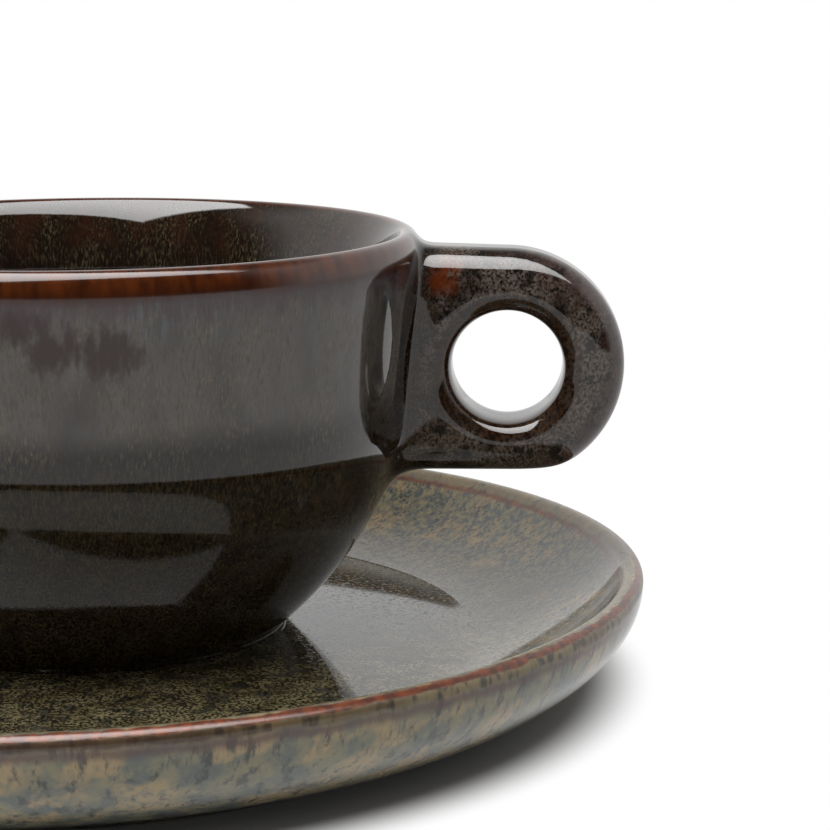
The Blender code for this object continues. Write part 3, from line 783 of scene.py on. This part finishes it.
def root_field(points):
    """Field of the handle with its fillet, ending a little inside the bowl's wall."""
    wall = bowl_distance(np.hypot(points[..., 0], points[..., 1]), points[..., 2])
    slab = handle_distance(points)
    near_lip = np.clip((points[..., 2] - CUP_HEIGHT + NARROWS_FROM) / NARROWS_OVER, 0, 1)
    width = FILLET + (LIP_FILLET - FILLET) * near_lip * near_lip * (3 - 2 * near_lip)
    skin = np.maximum(smooth_union(wall, slab, width), points[..., 2] - CUP_HEIGHT) + ROOT_SINK
    return np.maximum(skin, np.maximum(slab - width - ROOT_MARGIN, -wall - ROOT_DEPTH))


print("finger hole", round(HOLE_OUT, 2), "mm from the axis,", round(HOLE_HEIGHT, 2), "mm up")

# %% [markdown]
# ## A net over the field
#
# Marching cubes is the usual way to mesh a field, but it gives thin triangles that show in a mirror.
# A surface net gives even quads: one vertex in each cell that the surface crosses, and one quad round
# each grid edge that it cuts. Where four corners of a grid square alternate in sign, two sheets would
# share an edge, so the corner nearest to the surface changes sides first.

# %% Surface net
BARELY = 0.001


def without_chequers(values):
    """The samples with the weakest corner flipped in every square whose corners alternate in sign."""
    values = values.copy()
    for attempt in range(4):
        for axis in range(3):
            layers = np.moveaxis(values, axis, 0)
            inside = layers < 0
            a, b, c, d = inside[:, :-1, :-1], inside[:, 1:, :-1], inside[:, 1:, 1:], inside[:, :-1, 1:]
            for i, j, k in np.argwhere((a == c) & (b == d) & (a != b)):
                corners = [(i, j + dj, k + dk) for dj in (0, 1) for dk in (0, 1)]
                weakest = min(corners, key=lambda corner: abs(layers[corner]))
                layers[weakest] = BARELY if layers[weakest] < 0 else -BARELY
    return values


def surface_net(values, low, cell):
    """Points and quads of the zero level of a field that is sampled on a box of points."""
    values = without_chequers(values)
    inside = values < 0
    cells = [n - 1 for n in values.shape]
    corners = [(i, j, k) for i in (0, 1) for j in (0, 1) for k in (0, 1)]

    def corner(array, c):
        """The samples at one corner of every cell."""
        return array[c[0]:c[0] + cells[0], c[1]:c[1] + cells[1], c[2]:c[2] + cells[2]]

    count = sum(corner(inside, c).astype(int) for c in corners)
    crossed = (count > 0) & (count < 8)
    number = np.full(cells, -1)
    number[crossed] = np.arange(crossed.sum())
    total, hits = np.zeros((crossed.sum(), 3)), np.zeros(crossed.sum())
    for c in corners:
        for axis in range(3):
            if c[axis] == 0:
                d = tuple(1 if n == axis else c[n] for n in range(3))
                a, b = corner(values, c)[crossed], corner(values, d)[crossed]
                flips = (a < 0) != (b < 0)
                place = np.tile(np.array(c, float), (len(a), 1))
                place[:, axis] = np.where(flips, a / np.where(flips, a - b, 1), 0)
                total += place * flips[:, None]
                hits += flips
    points = low + cell * (np.argwhere(crossed) + total / hits[:, None])
    quads = []
    for axis in range(3):
        u, v = (axis + 1) % 3, (axis + 2) % 3
        first = tuple(slice(0, -1) if n == axis else slice(1, -1) for n in range(3))
        second = tuple(slice(1, None) if n == axis else slice(1, -1) for n in range(3))
        for outward in (True, False):
            edges = inside[first] & ~inside[second] if outward else ~inside[first] & inside[second]
            start = np.argwhere(edges) + [0 if n == axis else 1 for n in range(3)]
            ring = []
            for du, dv in ((0, 0), (1, 0), (1, 1), (0, 1)):
                cell_at = start.copy()
                cell_at[:, u] -= du
                cell_at[:, v] -= dv
                ring.append(number[tuple(cell_at.T)])
            quads.append(np.stack(ring if outward else ring[::-1], 1))
    return points, np.concatenate(quads)


print("nets close their chequers by", BARELY, "mm")

# %% [markdown]
# ## The handle's mesh
#
# The net's vertices lie near the surface, not on it, which a mirror would show as a grain. A few
# steps along the field's slope put them on it. Then each vertex gets the three distances that the
# handle's glaze follows.

# %% Handle mesh
NET_CELL = 0.42
SLOPE_STEP = 0.02
LEAST_SLOPE = 0.25
# The box of samples goes well past the handle on every side, or the net would end open.
net_low = np.array([32.0, -16.0, 12.0])
net_high = np.array([HOLE_OUT + END_RADIUS + 1.2, 16.0, CUP_HEIGHT + 0.8])
net_axes = [np.arange(a, b, NET_CELL) for a, b in zip(net_low, net_high)]
net = np.stack(np.meshgrid(*net_axes, indexing="ij"), -1)
points, quads = surface_net(root_field(net), net_low, NET_CELL)
for settle in range(3):
    value = root_field(points)
    slope = np.stack([(root_field(points + d) - root_field(points - d)) / (2 * SLOPE_STEP)
                      for d in np.eye(3) * SLOPE_STEP], 1)
    move = -slope * (value / np.maximum((slope ** 2).sum(1), LEAST_SLOPE))[:, None]
    points = points + np.clip(move, -NET_CELL / 3, NET_CELL / 3)

handle_mesh = bpy.data.meshes.new("glazed_handle")
handle_mesh.from_pydata((points * MM + CUP_AXIS).tolist(), [], quads.tolist())
from_hole = np.hypot(points[:, 0] - HOLE_OUT, points[:, 2] - HOLE_HEIGHT) - HOLE_RADIUS
from_top = END_RADIUS - np.abs(points[:, 2] - HOLE_HEIGHT)
measures = {"from_wall": bowl_distance(np.hypot(points[:, 0], points[:, 1]), points[:, 2]),
            "from_edge": np.where(points[:, 0] > HOLE_OUT, RING_WIDTH - from_hole, from_top),
            "from_hole": from_hole}
for name, lengths in measures.items():
    attribute = handle_mesh.attributes.new(name, "FLOAT", "POINT")
    attribute.data.foreach_set("value", (lengths * MM).astype(np.float32))
handle_mesh.materials.append(handle_glaze)
handle_mesh.shade_smooth()
handle = bpy.data.objects.new("glazed_handle", handle_mesh)
bpy.context.scene.collection.objects.link(handle)
print("handle", clay_volume(handle_mesh), "ml of clay in", len(handle_mesh.loop_triangles), "triangles")

# %% [markdown]
# ## Onto the frame
#
# The saucer piece rides on the saucer's body, the bowl and the handle on the cup's, and each takes
# the place of its plain CAD solid.

# %% Ride and replace
for piece, body, node, slot in ((saucer, "saucer", "saucer", "saucer_glaze"),
                                (bowl, "cup", "cup_bowl", "bowl_glaze"),
                                (handle, "cup", "cup_handle", "handle_glaze")):
    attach(piece, body)
    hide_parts(node)
